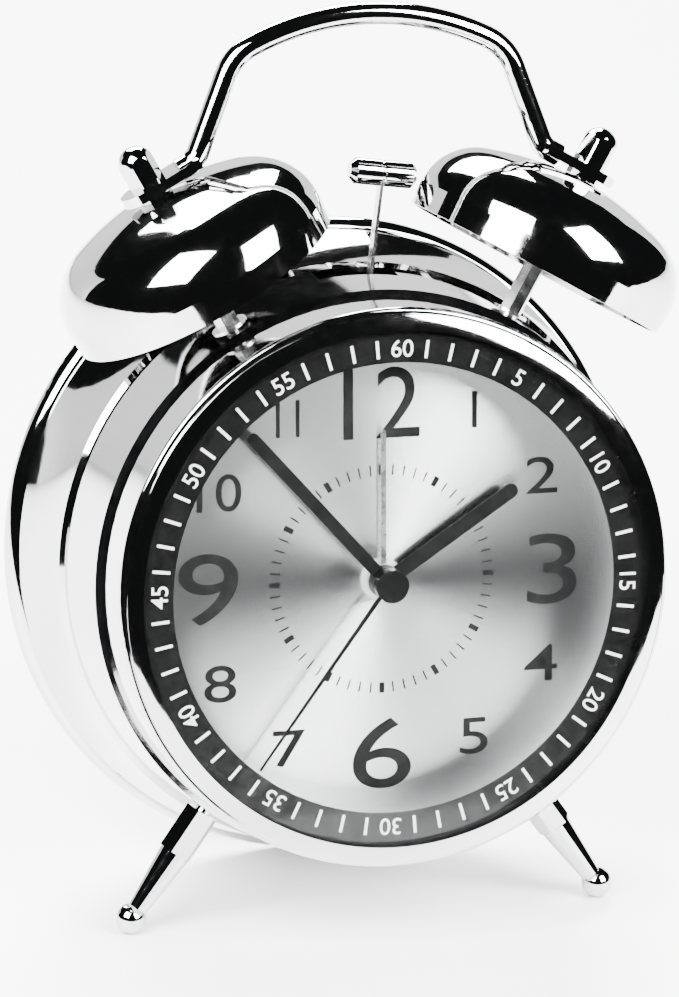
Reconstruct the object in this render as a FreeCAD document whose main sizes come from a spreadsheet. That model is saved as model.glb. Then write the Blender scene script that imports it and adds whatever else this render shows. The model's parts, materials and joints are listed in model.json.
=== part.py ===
"""Twin-bell alarm clock, in millimetres, built as separate pieces.

The pieces are drawn in the dial's own frame: X to the viewer's right, Y into the clock from the
plane of the minute ring, Z up along the dial, with the origin on the axis of the hands.
At the end the whole clock is leaned back until both foot balls and the rear rim stand on Z = 0.
"""
import FreeCAD, Part
import math
import os
import re
import Sketcher
from FreeCAD import Placement, Rotation, Vector

SIZES = {
    # stance and case
    "lean": 9.0,
    "wall": 0.9,
    "case_front": 3.0,
    "spigot_radius": 49.6,
    "step_depth": 12.2,
    "band_radius": 52.2,
    "ridge_depth": 29.0,
    "ridge_radius": 53.8,
    "ridge_height": 0.9,
    "ridge_width": 1.6,
    "flare_end_depth": 47.2,
    "flare_end_radius": 58.0,
    "flare_curve": 62.0,
    "bead_radius": 2.6,
    "bead_depth": 51.2,
    "rim_radius": 60.0,
    "slot_length": 15.0,
    "slot_width": 5.6,
    # bezel, lens and dial
    "lip_radius": 46.9,
    "lip_depth": -2.1,
    "bezel_radius": 50.9,
    "bezel_back": 12.0,
    "lens_radius": 49.0,
    "lens_thickness": 1.1,
    "ring_inner": 41.0,
    "ring_outer": 48.6,
    "ring_thickness": 0.5,
    "dial_depth": 9.2,
    "dial_thickness": 0.8,
    "frame_thickness": 1.8,
    "frame_radius": 48.4,
    "neck_radius": 3.9,
    "neck_bore": 2.85,
    # bells, posts and handle
    "bell_angle": 29.5,
    "bell_depth": 16.0,
    "bell_base": 62.2,
    "bell_rim": 25.2,
    "bell_belly": 25.5,
    "bell_height": 18.2,
    "bell_wall": 1.0,
    "bell_shoulder": 11.3,
    "bell_crown": 53.0,
    "post_flats": 3.6,
    "stud_radius": 1.5,
    "stud_hole": 1.7,
    "post_seat": 53.5,
    "washer_radius": 3.3,
    "washer_thickness": 0.55,
    "spacer_thickness": 0.9,
    "spacer_flats": 5.8,
    "tab_thickness": 1.8,
    "tab_width": 8.0,
    "tab_end": 5.6,
    "tab_reach": 9.5,
    "acorn_flats": 5.8,
    "acorn_height": 7.4,
    "bar_radius": 2.05,
    "arch_top": 101.2,
    "arch_radius": 50.0,
    "corner_radius": 10.0,
    "bend_radius": 4.0,
    "leg_slant": 20.9,
    "leg_foot_x": 31.8,
    # legs
    "leg_angle": 35.6,
    "leg_depth": 19.3,
    "leg_seat": 53.3,
    "leg_flats": 5.7,
    "leg_hex_end": 62.2,
    "leg_cone_radius": 2.95,
    "leg_tip_radius": 1.6,
    "ball_radius": 2.8,
    "nut_flats": 5.0,
    "nut_height": 2.4,
    "nut_top": 51.0,
    # hammer and its drive
    "hammer_depth": 26.0,
    "pivot_height": 32.0,
    "hammer_lean": 7.4,
    "head_reach": 39.5,
    "head_radius": 2.4,
    "head_length": 12.4,
    "strip_thickness": 0.6,
    "strip_width": 2.2,
    "pivot_radius": 1.5,
    "running_gap": 0.05,
    "rod_start": 4.5,
    "lever_width": 3.2,
    "lever_hub_radius": 3.0,
    "lever_top": 9.5,
    "stem_half": 1.7,
    "tail_half": 2.4,
    "fork_half": 1.1,
    "fork_drop": 9.5,
    "fork_depth": 3.4,
    "crank_pin_radius": 0.55,
    "bracket_depth": 30.2,
    "bracket_thickness": 1.2,
    "bracket_half": 17.0,
    "bracket_low": 18.5,
    "bracket_high": 42.0,
    "bracket_screw_x": 13.0,
    "bracket_screw_low": 22.0,
    "bracket_screw_high": 38.0,
    "crank_radius": 2.9,
    "motor_radius": 6.0,
    "motor_length": 12.0,
    # hands
    "hub_radius": 3.0,
    "minute_length": 38.2,
    "minute_width": 2.3,
    "hour_length": 29.4,
    "hour_width": 2.7,
    "second_length": 40.6,
    "second_width": 0.8,
    "alarm_length": 27.5,
    "alarm_width": 0.9,
    "blade": 0.4,
    # movement
    "second_shaft": 0.65,
    "minute_bore": 0.72,
    "minute_tube": 1.35,
    "hour_bore": 1.42,
    "hour_tube": 2.05,
    "alarm_bore": 2.12,
    "alarm_tube": 2.75,
    "staff_end": 24.8,
    "setting_end": 52.0,
    "gear_width": 0.8,
    "arbor_radius": 0.6,
    "setting_radius": 1.5,
    "knob_radius": 6.0,
    "knob_height": 5.2,
    "knob_gap": 1.6,
    "flute_radius": 0.7,
    "housing_half": 23.5,
    "housing_top": 17.5,
    "housing_wall": 1.2,
    "housing_split": 18.6,
    "housing_back": 25.2,
    # back
    "cover_radius": 56.0,
    "cover_depth": 46.0,
    "cover_thickness": 2.0,
    "boss_circle": 48.0,
    "boss_radius": 2.2,
    "screw_radius": 0.9,
    "screw_head_radius": 2.2,
    "screw_head_height": 1.3,
    "bay_half": 29.0,
    "bay_depth": 30.4,
    "bay_bottom": -43.5,
    "bay_top": -22.5,
    "bay_wall": 1.2,
    "battery_radius": 7.1,
    "battery_length": 49.5,
    "battery_depth": 38.8,
    "battery_height": -33.0,
    "nub_radius": 2.6,
    "contact_base": 4.5,
    "contact_tip": 2.5,
    "contact_length": 3.0,
    "door_thickness": 1.2,
    "door_gap": 0.15,
    "switch_left": 17.0,
    "switch_right": 31.0,
    "switch_low": 2.0,
    "switch_high": 10.0,
    "switch_body_depth": 6.0,
}

doc = FreeCAD.newDocument("alarm_clock")
sheet = doc.addObject("Spreadsheet::Sheet", "Sizes")
for row, (alias, value) in enumerate(SIZES.items(), start=1):
    sheet.set("A%d" % row, alias)
    sheet.set("B%d" % row, str(value))
    sheet.setAlias("B%d" % row, alias)
doc.recompute()

DEPTHWISE = Rotation(Vector(1, 0, 0), -90)
ORIGIN = Vector(0, 0, 0)
nodes = {}


def size(alias):
    """The sheet's value of one driving dimension."""
    return float(sheet.get(alias))


def bound(text):
    """The text of a formula, with each of the sheet's aliases made a reference to the sheet."""
    return re.sub(r"[a-z][a-z_]*", lambda word: "Sizes." + word.group() if word.group() in SIZES
                  else word.group(), text)


def value_of(text):
    """What a formula of aliases comes to now."""
    result = sheet.evalExpression(text)
    return float(getattr(result, "Value", result))


def depthwise(x=0.0, depth=0.0, z=0.0):
    """A frame whose own Z runs into the clock."""
    return Placement(Vector(x, depth, z), DEPTHWISE)


def radial(angle, depth):
    """A frame whose own Z runs out from the axis, clockwise from the top by the angle."""
    return Placement(Vector(0, depth, 0), Rotation(Vector(0, 1, 0), angle))


def around(angle, distance):
    """X and Z of a point at a distance from the axis, clockwise from the top by the angle."""
    turn = math.radians(angle)
    return distance * math.sin(turn), distance * math.cos(turn)


def keep(label, piece):
    """Names a finished piece and lists it as a node."""
    piece.Label = label
    nodes[label] = piece
    return piece


# ---------------------------------------------------------------- building tools

# How far the floor is below the axis, square to the floor, with the rear rim standing on it, and
# how far along its leg a foot ball's centre then is.
FLOOR = "(sin(lean) * bead_depth + cos(lean) * (rim_radius - bead_radius) + bead_radius)"
BALL = "((" + FLOOR + " - ball_radius - sin(lean) * leg_depth) / cos(lean) / cos(leg_angle))"


def origin_plane(body, role):
    return [plane for plane in body.Origin.OriginFeatures if plane.Role == role][0]


def add_edge(sketch, start, end, curve):
    """Adds a line, or an arc of a radius with its centre on one side; says which end is which."""
    if curve is None:
        edge = sketch.addGeometry(Part.LineSegment(start, end), False)
        return edge, 1, 2
    radius, side = curve
    chord = end - start
    across = Vector(-chord.y, chord.x, 0).normalize() * side
    rise = math.sqrt(max(value_of(radius) ** 2 - (chord.Length / 2) ** 2, 0.0))
    centre = (start + end) * 0.5 + across * rise
    first, last = (start, end) if side > 0 else (end, start)
    angles = [math.atan2(point.y - centre.y, point.x - centre.x) for point in (first, last)]
    circle = Part.Circle(centre, Vector(0, 0, 1), value_of(radius))
    edge = sketch.addGeometry(Part.ArcOfCircle(circle, angles[0], angles[1]), False)
    name = sketch.addConstraint(Sketcher.Constraint("Radius", edge, value_of(radius)))
    sketch.setExpression("Constraints[%d]" % name, bound(radius))
    return (edge, 1, 2) if side > 0 else (edge, 2, 1)


def outline(body, name, role, points):
    """A closed sketch through points, each a pair of formulas and, if the edge that leaves it is
    an arc, that arc's radius and the side of its centre (+1 left of the way along, -1 right)."""
    sketch = body.newObject("Sketcher::SketchObject", name)
    sketch.AttachmentSupport = (origin_plane(body, role), [""])
    sketch.MapMode = "FlatFace"
    places = [Vector(value_of(point[0]), value_of(point[1]), 0) for point in points]
    edges = []
    for index, point in enumerate(points):
        curve = point[2:] if len(point) > 2 else None
        edges.append(add_edge(sketch, places[index], places[(index + 1) % len(points)], curve))
    for index, (edge, _, end) in enumerate(edges):
        following, start, _ = edges[(index + 1) % len(edges)]
        sketch.addConstraint(Sketcher.Constraint("Coincident", edge, end, following, start))
    for point, place, (edge, start, _) in zip(points, places, edges):
        for kind, text, number in (("DistanceX", point[0], place.x), ("DistanceY", point[1], place.y)):
            index = sketch.addConstraint(Sketcher.Constraint(kind, edge, start, number))
            sketch.setExpression("Constraints[%d]" % index, bound(text))
    return sketch


def lathe(name, points, frame):
    """A body turned about its own Z: each point is a radius and a height."""
    body = doc.addObject("PartDesign::Body", name)
    profile = outline(body, name + "_profile", "XZ_Plane", points)
    turned = body.newObject("PartDesign::Revolution", name + "_turned")
    turned.Profile = profile
    turned.ReferenceAxis = (profile, ["V_Axis"])
    turned.Angle = 360
    body.Placement = frame
    return body


def prism(name, points, height, frame):
    """A body padded along its own Z from an outline of X and Y."""
    body = doc.addObject("PartDesign::Body", name)
    profile = outline(body, name + "_profile", "XY_Plane", points)
    pad = body.newObject("PartDesign::Pad", name + "_pad")
    pad.Profile = profile
    pad.setExpression("Length", bound(height))
    body.Placement = frame
    return body


def cylinder(name, radius, height, frame):
    piece = doc.addObject("Part::Cylinder", name)
    piece.setExpression("Radius", bound(radius))
    piece.setExpression("Height", bound(height))
    piece.Placement = frame
    return piece


def hexagon(name, flats, height, frame):
    """A hexagonal prism, two of whose flats face along its own Y."""
    piece = doc.addObject("Part::Prism", name)
    piece.Polygon = 6
    piece.setExpression("Circumradius", bound("(" + flats + ") / sqrt(3)"))
    piece.setExpression("Height", bound(height))
    piece.Placement = frame
    return piece


def block(name, low, high):
    """A box between two corners of the dial's frame."""
    piece = doc.addObject("Part::Box", name)
    for side, first, last in zip(("Length", "Width", "Height"), low, high):
        piece.setExpression(side, bound("(%s) - (%s)" % (last, first)))
    piece.Placement = Placement(Vector(*[value_of(text) for text in low]), Rotation())
    return piece


def fuse(name, *pieces):
    joined = doc.addObject("Part::MultiFuse", name)
    joined.Shapes = list(pieces)
    joined.Refine = True
    return joined


def cut(name, base, *tools):
    result = doc.addObject("Part::Cut", name)
    result.Base = base
    result.Tool = tools[0] if len(tools) == 1 else fuse(name + "_tools", *tools)
    return result


def group(name, *pieces):
    """Identical pieces kept as separate solids of one node."""
    several = doc.addObject("Part::Compound", name)
    several.Links = list(pieces)
    return several


def tube(name, outer, inner, low, high, x=0.0, z=0.0):
    """A ring or tube along the depth, between two depths."""
    length = "(%s) - (%s)" % (high, low)
    shell = cylinder(name + "_outside", outer, length, depthwise(x, value_of(low), z))
    bore = cylinder(name + "_bore", inner, length, depthwise(x, value_of(low), z))
    return cut(name, shell, bore)


def rod(name, radius, low, high, x=0.0, z=0.0):
    """A round bar along the depth, between two depths."""
    return cylinder(name, radius, "(%s) - (%s)" % (high, low), depthwise(x, value_of(low), z))


# ---------------------------------------------------------------- case, bezel and dial

def case_shell():
    """Spun shell: a spigot for the bezel, a plain band, a ridge, a hollow flare and a rolled rim."""
    inside = "spigot_radius - wall"
    spun = lathe("case_spun", [
        (inside, "case_front"),
        ("spigot_radius", "case_front"),
        ("spigot_radius", "step_depth"),
        ("band_radius", "step_depth"),
        ("ridge_radius", "ridge_depth"),
        ("ridge_radius + ridge_height", "ridge_depth + ridge_width / 2"),
        ("ridge_radius + 0.5 * ridge_height", "ridge_depth + ridge_width", "flare_curve", -1),
        ("flare_end_radius", "flare_end_depth"),
        ("rim_radius - bead_radius", "bead_depth - bead_radius", "bead_radius", 1),
        ("rim_radius", "bead_depth", "bead_radius", 1),
        ("rim_radius - bead_radius", "bead_depth + bead_radius"),
        ("rim_radius - bead_radius", "bead_depth + bead_radius - wall", "bead_radius - wall", -1),
        ("rim_radius - wall", "bead_depth", "bead_radius - wall", -1),
        ("rim_radius - bead_radius", "bead_depth - bead_radius + wall"),
        ("flare_end_radius - wall", "flare_end_depth + wall", "flare_curve + wall", 1),
        ("ridge_radius + 0.5 * ridge_height - wall", "ridge_depth + ridge_width"),
        ("ridge_radius - wall", "ridge_depth"),
        ("band_radius - wall", "step_depth + wall"),
        (inside, "step_depth + wall"),
    ], depthwise())
    tools = [block("hammer_slot", ("-slot_length / 2", "hammer_depth - slot_width / 2", "40"),
                   ("slot_length / 2", "hammer_depth + slot_width / 2", "60"))]
    for side in (-1, 1):
        post = radial(side * size("bell_angle"), size("bell_depth"))
        leg = radial(180 + side * size("leg_angle"), size("leg_depth"))
        tools.append(cylinder("post_hole", "stud_hole", "rim_radius", post))
        tools.append(cylinder("leg_hole", "stud_hole", "rim_radius", leg))
    keep("case_shell", cut("case", spun, *tools))


def front_bezel():
    """Drawn ring with a lip over the lens, a crowned face, a bead and a side that grips the case."""
    bead = "0.8"
    lens_gap = "0.3"
    keep("front_bezel", lathe("bezel", [
        ("lip_radius", "-lens_thickness"),
        ("lip_radius", "lip_depth", "9", 1),
        ("bezel_radius - 1.2", "lip_depth + 0.6"),
        ("bezel_radius - 1.05", "lip_depth + 1.6"),
        ("bezel_radius - 0.7", "lip_depth + 1.6", bead, 1),
        ("bezel_radius", "lip_depth + 2.5"),
        ("bezel_radius + 0.3", "bezel_back"),
        ("spigot_radius + 0.1", "bezel_back"),
        ("spigot_radius + 0.1", "case_front - 0.2"),
        ("lens_radius + " + lens_gap, "case_front - 0.2"),
        ("lens_radius + " + lens_gap, "-lens_thickness"),
    ], depthwise()))


def lens_and_dial():
    keep("lens", rod("lens_disc", "lens_radius", "-lens_thickness", "0"))
    keep("chapter_ring", tube("ring", "ring_outer", "ring_inner", "0", "ring_thickness"))
    keep("dial_spacer", tube("spacer", "ring_outer", "ring_outer - 2.2", "ring_thickness", "dial_depth"))
    keep("dial_plate", tube("dial", "ring_outer - 0.2", "neck_radius + 0.05", "dial_depth",
                            "dial_depth + dial_thickness"))


def inner_frame():
    """Moulded frame behind the dial, with bosses for the back cover and for the hammer bracket."""
    low = "dial_depth + dial_thickness"
    top = "dial_depth + dial_thickness + frame_thickness"
    pieces = [rod("frame_plate", "frame_radius", low, top)]
    tools = [rod("frame_hole", "neck_radius + 0.1", low, top)]
    for angle in (45, 135, 225, 315):
        x, z = around(angle, size("boss_circle") - size("boss_radius"))
        pieces.append(rod("cover_boss", "boss_radius", low, "cover_depth", x, z))
        tools.append(rod("cover_boss_bore", "0.9", "cover_depth - 9", "cover_depth", x, z))
    for x, z in bracket_places():
        pieces.append(rod("bracket_boss", "boss_radius", low, "bracket_depth", x, z))
        tools.append(rod("bracket_boss_bore", "0.9", "bracket_depth - 7", "bracket_depth", x, z))
    keep("inner_frame", cut("frame", fuse("frame_body", *pieces), *tools))


# ---------------------------------------------------------------- bells, posts, handle and legs

def bell(label, side):
    """Domed cup of drawn sheet, open below: wall, round shoulder and flatter crown, all tangent."""
    middle = "(bell_belly - bell_shoulder)"
    rise = "sqrt((bell_crown - bell_shoulder) ^ 2 - " + middle + " ^ 2)"
    centre = "bell_base + bell_height - bell_crown"
    share = " * (bell_crown - %s) / (bell_crown - bell_shoulder)"
    outside, inside = share % "0", share % "bell_wall"
    keep(label, lathe(label + "_dome", [
        ("bell_rim - bell_wall", "bell_base"),
        ("bell_rim", "bell_base"),
        ("bell_belly", centre + " + " + rise, "bell_shoulder", 1),
        (middle + outside, centre + " + " + rise + outside, "bell_crown", 1),
        ("stud_hole", centre + " + sqrt(bell_crown ^ 2 - stud_hole ^ 2)"),
        ("stud_hole", centre + " + sqrt((bell_crown - bell_wall) ^ 2 - stud_hole ^ 2)",
         "bell_crown - bell_wall", -1),
        (middle + inside, centre + " + " + rise + inside, "bell_shoulder - bell_wall", -1),
        ("bell_belly - bell_wall", centre + " + " + rise),
    ], radial(side * size("bell_angle"), size("bell_depth"))))


def bell_post(label, side):
    """Hexagonal pillar with a threaded stud at each end."""
    frame = radial(side * size("bell_angle"), size("bell_depth"))
    seat = frame.multiply(Placement(Vector(0, 0, size("post_seat")), Rotation()))
    inner_end = "nut_top - nut_height - 1"
    below = frame.multiply(Placement(Vector(0, 0, value_of(inner_end)), Rotation()))
    hexagonal = hexagon(label + "_hexagon", "post_flats",
                        "bell_base + bell_height - bell_wall - 0.1 - post_seat", seat)
    stud = cylinder(label + "_stud", "stud_radius",
                    "bell_base + bell_height + spacer_thickness + tab_thickness + 3.5 - (" + inner_end + ")",
                    below)
    keep(label, fuse(label + "_post", hexagonal, stud))


def ring_nut(name, flats, height, frame, distance):
    """A hexagonal nut or a round washer's body at a distance along the frame's Z."""
    place = frame.multiply(Placement(Vector(0, 0, value_of(distance)), Rotation()))
    outside = hexagon(name + "_outside", flats, height, place)
    return cut(name, outside, cylinder(name + "_bore", "stud_radius", height, place))


def washer(name, frame, distance):
    place = frame.multiply(Placement(Vector(0, 0, value_of(distance)), Rotation()))
    outside = cylinder(name + "_outside", "washer_radius", "washer_thickness", place)
    return cut(name, outside, cylinder(name + "_bore", "stud_radius", "washer_thickness", place))


def acorn_nut(name, frame):
    """Hexagonal nut with a domed, closed end."""
    seat = "bell_base + bell_height + spacer_thickness + tab_thickness"
    dome = "(acorn_flats * 0.56)"
    place = frame.multiply(Placement(Vector(0, 0, value_of(seat)), Rotation()))
    dome_place = lathe(name + "_envelope", [
        ("0", "0"),
        (dome, "0"),
        (dome, "acorn_height - " + dome + " * 0.9", dome, 1),
        ("0", "acorn_height"),
    ], place)
    prism_place = hexagon(name + "_hexagon", "acorn_flats", "acorn_height", place)
    domed = doc.addObject("Part::MultiCommon", name + "_domed")
    domed.Shapes = [prism_place, dome_place]
    return cut(name, domed, cylinder(name + "_bore", "stud_radius", "3.6", place))


def fasteners():
    """Washers, nuts and domed nuts of the posts and legs, each kind one group."""
    posts = [radial(side * size("bell_angle"), size("bell_depth")) for side in (-1, 1)]
    legs = [radial(180 + side * size("leg_angle"), size("leg_depth")) for side in (-1, 1)]
    keep("post_washers", group("post_washer_pair", *[
        washer("post_washer", frame, "post_seat - washer_thickness") for frame in posts]))
    keep("spacer_nuts", group("spacer_nut_pair", *[
        ring_nut("spacer_nut", "spacer_flats", "spacer_thickness", frame, "bell_base + bell_height")
        for frame in posts]))
    keep("acorn_nuts", group("acorn_nut_pair", *[acorn_nut("acorn_nut", frame) for frame in posts]))
    keep("inner_nuts", group("inner_nut_set", *[
        ring_nut("inner_nut", "nut_flats", "nut_height", frame, "nut_top - nut_height")
        for frame in posts + legs]))


def handle_path(body):
    """Half of the handle's centre line: arch, corner, slanting leg, bend and the run to the tab."""
    path = body.newObject("Sketcher::SketchObject", "handle_path")
    path.AttachmentSupport = (origin_plane(body, "XZ_Plane"), [""])
    path.MapMode = "FlatFace"
    arch, corner, bend = size("arch_radius"), size("corner_radius"), size("bend_radius")
    slant, tilt = math.radians(size("leg_slant")), math.radians(size("bell_angle"))
    along = Vector(math.sin(slant), -math.cos(slant), 0)
    inward = Vector(-math.cos(slant), -math.sin(slant), 0)
    arch_centre = Vector(0, size("arch_top") - arch, 0)
    foot = Vector(size("leg_foot_x"), 74.5, 0)
    to_centre = foot + inward * corner - arch_centre
    reach = -to_centre.dot(along) + math.sqrt(
        to_centre.dot(along) ** 2 - to_centre.dot(to_centre) + (arch - corner) ** 2)
    back = -to_centre.dot(along) - math.sqrt(
        to_centre.dot(along) ** 2 - to_centre.dot(to_centre) + (arch - corner) ** 2)
    corner_centre = foot + inward * corner + along * min(reach, back)
    leg_top = corner_centre - inward * corner
    junction_angle = math.atan2(corner_centre.y - arch_centre.y, corner_centre.x - arch_centre.x)
    tab_way = Vector(math.cos(tilt), -math.sin(tilt), 0)
    tab_normal = Vector(math.sin(tilt), math.cos(tilt), 0)
    bend_centre = foot - inward * bend
    tab_start = bend_centre - tab_normal * bend
    tab_end = tab_start + tab_way * 3
    up = Vector(0, 0, 1)
    arcs = [
        Part.ArcOfCircle(Part.Circle(arch_centre, up, arch), junction_angle, math.pi / 2),
        Part.ArcOfCircle(Part.Circle(corner_centre, up, corner), -slant, junction_angle),
        Part.LineSegment(leg_top, foot),
        Part.ArcOfCircle(Part.Circle(bend_centre, up, bend), math.pi - slant, 1.5 * math.pi - tilt),
        Part.LineSegment(tab_start, tab_end),
    ]
    top, turn, leg, low, tab = [path.addGeometry(arc, False) for arc in arcs]
    for first, first_end, second, second_end in (
            (top, 1, turn, 2), (turn, 1, leg, 1), (leg, 2, low, 1), (low, 2, tab, 1)):
        path.addConstraint(Sketcher.Constraint("Tangent", first, first_end, second, second_end))
    for edge, radius in ((top, "arch_radius"), (turn, "corner_radius"), (low, "bend_radius")):
        index = path.addConstraint(Sketcher.Constraint("Radius", edge, size(radius)))
        path.setExpression("Constraints[%d]" % index, bound(radius))
    path.addConstraint(Sketcher.Constraint("PointOnObject", top, 2, -2))
    path.addConstraint(Sketcher.Constraint("PointOnObject", top, 3, -2))
    tab_radius = "(bell_base + bell_height + spacer_thickness + tab_thickness / 2)"
    tab_point = (tab_radius + " * sin(bell_angle) - 6 * cos(bell_angle)",
                 tab_radius + " * cos(bell_angle) + 6 * sin(bell_angle)")
    for kind, edge, end, text in (
            ("DistanceY", top, 2, "arch_top"), ("DistanceX", leg, 2, "leg_foot_x"),
            ("DistanceX", tab, 2, tab_point[0]), ("DistanceY", tab, 2, tab_point[1])):
        index = path.addConstraint(Sketcher.Constraint(kind, edge, end, value_of(text)))
        path.setExpression("Constraints[%d]" % index, bound(text))
    for edge, text in ((leg, "leg_slant - 90"), (tab, "-bell_angle")):
        number = math.radians(value_of(text))
        index = path.addConstraint(Sketcher.Constraint("Angle", edge, number))
        path.setExpression("Constraints[%d]" % index, bound(text))
    return path


def carry_handle():
    """Round bar bent into a flat arch, flattened at each end into a drilled tab."""
    body = doc.addObject("PartDesign::Body", "handle_bar")
    path = handle_path(body)
    section = body.newObject("Sketcher::SketchObject", "handle_section")
    section.AttachmentSupport = (origin_plane(body, "YZ_Plane"), [""])
    section.MapMode = "FlatFace"
    circle = section.addGeometry(
        Part.Circle(Vector(0, size("arch_top"), 0), Vector(0, 0, 1), size("bar_radius")), False)
    section.addConstraint(Sketcher.Constraint("PointOnObject", circle, 3, -2))
    for kind, text in (("DistanceY", "arch_top"), ("Radius", "bar_radius")):
        where = (circle,) if kind == "Radius" else (circle, 3)
        index = section.addConstraint(Sketcher.Constraint(kind, *where, size(text)))
        section.setExpression("Constraints[%d]" % index, bound(text))
    doc.recompute()
    pipe = body.newObject("PartDesign::AdditivePipe", "handle_pipe")
    pipe.Profile = section
    pipe.Spine = path
    mirror = body.newObject("PartDesign::Mirrored", "handle_mirror")
    mirror.Originals = [pipe]
    mirror.MirrorPlane = (origin_plane(body, "YZ_Plane"), [""])
    body.Tip = mirror
    body.Placement = Placement(Vector(0, size("bell_depth"), 0), Rotation())
    pieces, tools = [body], []
    for side in (-1, 1):
        frame = radial(side * size("bell_angle"), size("bell_depth"))
        seat = size("bell_base") + size("bell_height") + size("spacer_thickness")
        round_at = side * (size("tab_end") - size("tab_width") / 2)
        low = round_at if side < 0 else -size("tab_reach")
        tab = doc.addObject("Part::Box", "handle_tab")
        tab.setExpression("Length", bound("tab_end - tab_width / 2 + tab_reach"))
        tab.setExpression("Width", bound("tab_width"))
        tab.setExpression("Height", bound("tab_thickness"))
        tab.Placement = frame.multiply(Placement(Vector(low, -size("tab_width") / 2, seat), Rotation()))
        pieces.append(tab)
        pieces.append(cylinder("tab_round", "tab_width / 2", "tab_thickness",
                               frame.multiply(Placement(Vector(round_at, 0, seat), Rotation()))))
        tools.append(cylinder("tab_hole", "stud_hole", "tab_thickness + 2",
                              frame.multiply(Placement(Vector(0, 0, seat - 1), Rotation()))))
    keep("carry_handle", cut("handle", fuse("handle_body", *pieces), *tools))


def foot_leg(label, side):
    """Hexagonal upper leg, turned cone and ball foot, with a threaded stud into the case."""
    frame = radial(180 + side * size("leg_angle"), size("leg_depth"))
    seat = frame.multiply(Placement(Vector(0, 0, size("leg_seat")), Rotation()))
    hexagonal = hexagon(label + "_hexagon", "leg_flats", "leg_hex_end - leg_seat", seat)
    inner_end = value_of("nut_top - nut_height - 1")
    stud_place = frame.multiply(Placement(Vector(0, 0, inner_end), Rotation()))
    stud = cylinder(label + "_stud", "stud_radius", "leg_seat - nut_top + nut_height + 2", stud_place)
    cone = doc.addObject("Part::Cone", label + "_cone")
    cone.setExpression("Radius1", bound("leg_cone_radius"))
    cone.setExpression("Radius2", bound("leg_tip_radius"))
    cone.setExpression("Height", bound(BALL + " - leg_hex_end"))
    cone.Placement = frame.multiply(Placement(Vector(0, 0, size("leg_hex_end")), Rotation()))
    ball = doc.addObject("Part::Sphere", label + "_ball")
    ball.setExpression("Radius", bound("ball_radius"))
    ball.Placement = frame.multiply(Placement(Vector(0, 0, value_of(BALL)), Rotation()))
    keep(label, fuse(label + "_leg", hexagonal, stud, cone, ball))


# ---------------------------------------------------------------- hands

def hand(label, parts, bore_radius, angle):
    """Fuses a hand's parts, bores its hub and turns it clockwise from the top."""
    holder = cut(label + "_bored", fuse(label + "_shape", *parts),
                 rod(label + "_bore", bore_radius, "0", "dial_depth"))
    holder.Placement = Placement(ORIGIN, Rotation(Vector(0, 1, 0), angle))
    keep(label, holder)


# Each straight hand's bore, the depths of its hub's front, blade and hub's back, and its angle.
BATONS = {
    "hour": ("hour_tube", "6.2", "6.7", "7.4", 57.0),
    "minute": ("minute_tube", "4.8", "5.3", "6.1", 318.0),
    "alarm": ("alarm_tube", "7.5", "7.8", "8.5", 0.0),
}


def baton(word, bore_radius, low, blade_low, high, angle):
    """Straight hand with a rounded tip on a thick hub."""
    width, reach = word + "_width", "%s_length - %s_width / 2" % (word, word)
    blade = block(word + "_blade", ("-%s / 2" % width, blade_low, "0"),
                  (width + " / 2", blade_low + " + blade", reach))
    tip = rod(word + "_tip", width + " / 2", blade_low, blade_low + " + blade", 0, value_of(reach))
    hub = rod(word + "_hub", "hub_radius", low, high)
    hand(word + "_hand", [blade, tip, hub], bore_radius, angle)


def hands():
    """All four hands at about seven minutes to two, thirty-six seconds, alarm set to twelve."""
    for word, details in BATONS.items():
        baton(word, *details)
    blade = prism("second_blade", [
        ("-second_width / 2", "0"), ("second_width / 2", "0"),
        ("second_width / 4", "second_length"), ("-second_width / 4", "second_length"),
    ], "0.3", Placement(Vector(0, 4.5, 0), Rotation(Vector(1, 0, 0), 90)))
    hub = rod("second_hub", "hub_radius", "4.2", "4.7")
    hand("second_hand", [blade, hub], "second_shaft", 216.5)
    keep("centre_cap", cut("cap", rod("cap_outside", "hub_radius", "2.0", "4.2"),
                           rod("cap_bore", "second_shaft", "3.0", "4.2")))


# ---------------------------------------------------------------- wheel train

def toothed(name, teeth, module, low, centre, tooth_at):
    """A toothed disc along the depth, with the middle of one tooth in the given direction."""
    pitch_radius = teeth * module / 2
    pitch = 2 * math.pi / teeth
    corners = []
    for tooth in range(teeth):
        middle = math.radians(tooth_at) + tooth * pitch
        for height, half in ((-1.25, -0.30), (0.85, -0.085), (0.85, 0.085), (-1.25, 0.30)):
            angle = middle + half * pitch
            reach = pitch_radius + height * module
            corners.append(Vector(centre[0] + reach * math.sin(angle), low,
                                  centre[1] + reach * math.cos(angle)))
    face = Part.Face(Part.makePolygon(corners + corners[:1]))
    wheel = doc.addObject("Part::Feature", name)
    wheel.Shape = face.extrude(Vector(0, size("gear_width"), 0))
    return wheel


def gap_towards(teeth, direction):
    """Where a tooth stands when the middle of a gap is in the given direction."""
    return direction + 180.0 / teeth


THIRD_AT, MIDDLE_AT, ALARM_AT, SETTING_AT = 180.0, 60.0, 270.0, 0.0
TRAIN = {"minute": 64, "third_pinion": 8, "third": 60, "second_pinion": 8, "cannon": 12, "middle": 36,
         "middle_pinion": 10, "hour": 40, "alarm": 36, "alarm_pinion": 12, "setting_pinion": 16}
FAST = 22.5 / 72
QUICK = 22.5 / 68
SLOW = 0.5
SLOWER = 0.48
LAYER = {"alarm": 14.2, "hour": 15.9, "cannon": 17.5, "minute": 19.1, "third": 20.7, "second": 22.3}


def meshed(wheel, pinion, module, direction):
    """Where a wheel's centre is when it meshes with one on the axis, or a pinion with a wheel."""
    return around(direction, (TRAIN[wheel] + TRAIN[pinion]) * module / 2)


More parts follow.
